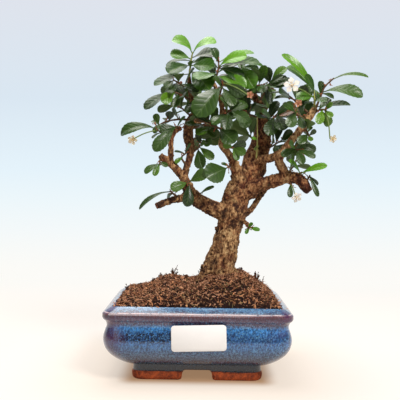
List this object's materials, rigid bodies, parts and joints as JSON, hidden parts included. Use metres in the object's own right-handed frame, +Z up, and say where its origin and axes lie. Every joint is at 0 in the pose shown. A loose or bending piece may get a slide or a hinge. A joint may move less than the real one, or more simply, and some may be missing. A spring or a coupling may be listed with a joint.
{
  "type": "fukien tea bonsai",
  "caption": "Small Fukien tea tree, with a leaning forked trunk, toothed glossy leaves and white flowers, in a glazed rectangular footed pot of soil.",
  "frame": {"origin": "on the table under the middle of the whole plant's box, which the crown carries to the right of the pot's middle", "axes": "+Z up; +X along the pot's front, to the right as seen from the front; +Y from the labelled front to the back"},
  "size_m": [0.211, 0.1256, 0.2832],
  "materials": {
    "glaze": "gloss",
    "soil": "matte",
    "bark": "matte",
    "label": "satin",
    "green": "satin",
    "new": "satin",
    "white": "matte",
    "cream": "matte",
    "faded": "matte"
  },
  "bodies": {
    "root": {"pot": "glaze", "soil": "soil", "trunk": "bark", "label": "label", "crest_left": "new", "left_plume": "green", "left_sweep": "green", "left_bud": "green", "left_arch": "green", "arm_tip": "green", "stub_left": "green", "rise_low": "green", "rise_right": "green", "fork_spray": "green", "low_arch": "green", "limb_bud": "green", "rise_mid": "green", "rise_top": "green", "crest_mid": "new", "mid_fan": "green", "mid_front": "green", "inner_low": "green", "heart": "green", "crest_right": "new", "lead_right": "green", "lead_left": "green", "lead_front": "green", "rise_left": "green", "right_crest": "new", "right_reach": "green", "right_cluster": "green", "under_right": "green", "cross_tip": "green", "limb_new": "new", "limb_tip": "green", "limb_under": "green", "back_left": "green", "back_mid": "green", "back_lead": "green", "back_low": "green", "back_right": "green", "back_limb": "green", "back_left_low": "green", "left_fill": "green", "inner_mid": "green", "centre_fill": "green", "crest_fill": "green", "rise_fill": "green", "lead_low": "green", "right_low": "green", "trunk_bud": "new", "young_shoot": "new", "bloom_top": "white", "bloom_left": "cream", "bloom_low": "white", "bloom_far": "cream", "bloom_faded": "faded", "bloom_rust": "faded"}
  },
  "joints": []
}
